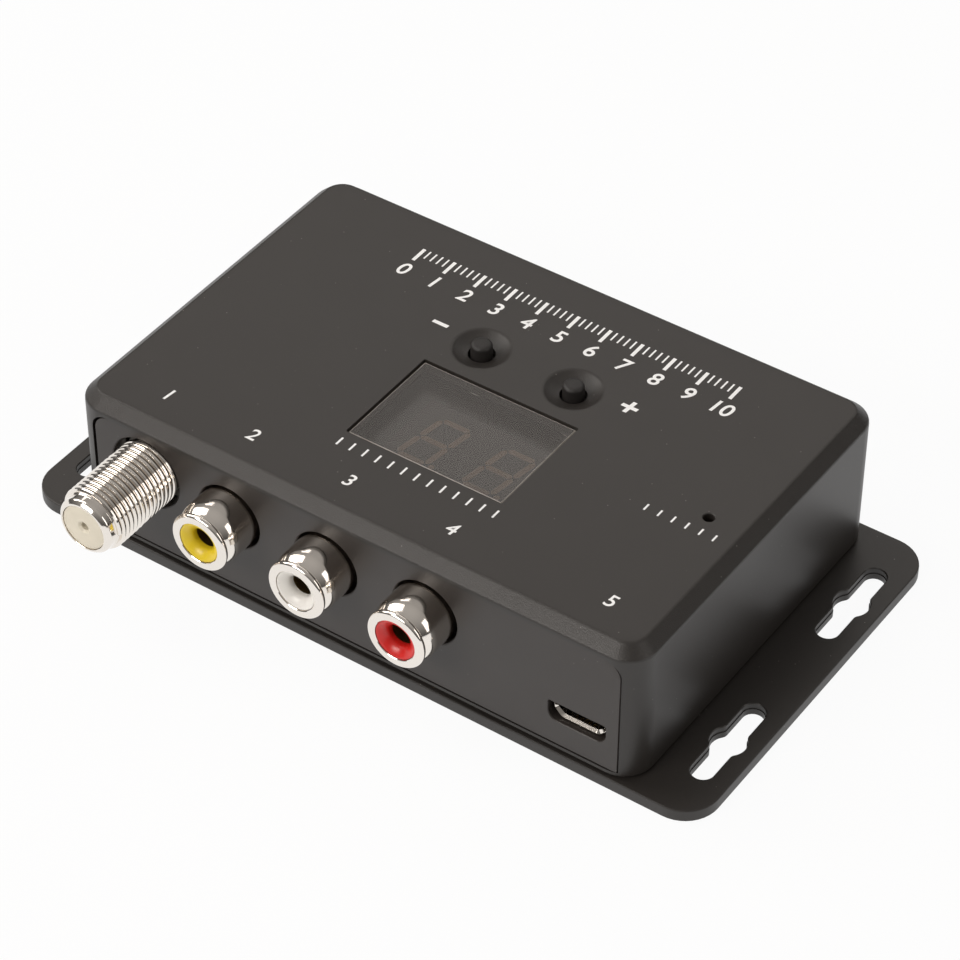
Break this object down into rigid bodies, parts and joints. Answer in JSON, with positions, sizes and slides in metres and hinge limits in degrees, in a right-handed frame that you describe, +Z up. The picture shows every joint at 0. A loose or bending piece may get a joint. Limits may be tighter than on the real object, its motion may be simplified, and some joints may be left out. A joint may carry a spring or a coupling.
{
  "type": "rf modulator",
  "caption": "Screw-down radio frequency modulator case with a coaxial socket, phono jacks, a tinted digit window and two channel buttons.",
  "frame": {"origin": "centre of the base plate's underside", "axes": "+X to the right along the length, +Y to the back (the sockets face -Y), +Z up"},
  "size_m": [0.106, 0.0708, 0.0246],
  "materials": {
    "case_plastic": "satin moulded",
    "panel_plastic": "satin moulded",
    "tinted_window": "tinted gloss",
    "display_face": "matt grey",
    "digit_resin": "translucent, unlit",
    "button_plastic": "fine grain",
    "switch_plastic": "moulded",
    "black_plastic": "moulded",
    "circuit_board": "solder mask",
    "nylon": "moulded",
    "lamp_resin": "tinted, unlit",
    "tinned_steel": "tinned",
    "nickel": "nickel plated",
    "cream_plastic": "moulded",
    "contact_brass": "plated",
    "jack_plastic": "gloss moulded",
    "yellow_plastic": "moulded",
    "white_plastic": "moulded",
    "red_plastic": "moulded",
    "coil_wire": "enamelled",
    "chip_resin": "moulded",
    "chip_ceramic": "fired",
    "screw_steel": "zinc, darkened"
  },
  "bodies": {
    "housing": {"base_plate": "case_plastic", "board_header": "black_plastic", "board_screws": "screw_steel", "capacitors": "black_plastic", "case_screws": "screw_steel", "chip_parts": "chip_ceramic", "coax_body": "nickel", "coax_contact": "contact_brass", "coax_insulator": "cream_plastic", "controller_chip": "chip_resin", "crystal": "tinned_steel", "digit_bars": "digit_resin", "display_board": "circuit_board", "display_module": "display_face", "display_pillars": "nylon", "display_window": "tinted_window", "down_switch_body": "black_plastic", "front_panel": "panel_plastic", "left_jack_block": "jack_plastic", "left_jack_contact": "contact_brass", "left_jack_insulator": "white_plastic", "left_jack_shell": "nickel", "main_board": "circuit_board", "micro_contacts": "contact_brass", "micro_insert": "black_plastic", "micro_shell": "nickel", "modulator_chip": "chip_resin", "power_light": "lamp_resin", "power_light_legs": "tinned_steel", "right_jack_block": "jack_plastic", "right_jack_contact": "contact_brass", "right_jack_insulator": "red_plastic", "right_jack_shell": "nickel", "shield_can": "tinned_steel", "shield_lid": "tinned_steel", "tuning_coils": "coil_wire", "up_switch_body": "black_plastic", "upper_case": "case_plastic", "video_jack_block": "jack_plastic", "video_jack_contact": "contact_brass", "video_jack_insulator": "yellow_plastic", "video_jack_shell": "nickel", "voltage_regulator": "chip_resin"},
    "down_key": {"channel_down_button": "button_plastic", "down_switch_plunger": "switch_plastic"},
    "up_key": {"channel_up_button": "button_plastic", "up_switch_plunger": "switch_plastic"}
  },
  "joints": [
    {"name": "channel_down_press", "type": "slide", "parent": "housing", "child": "down_key", "axis": [0, 0, -1], "range_m": [0, 0.00035], "stiffness_N_per_m": 600},
    {"name": "channel_up_press", "type": "slide", "parent": "housing", "child": "up_key", "axis": [0, 0, -1], "range_m": [0, 0.00035], "stiffness_N_per_m": 600}
  ]
}
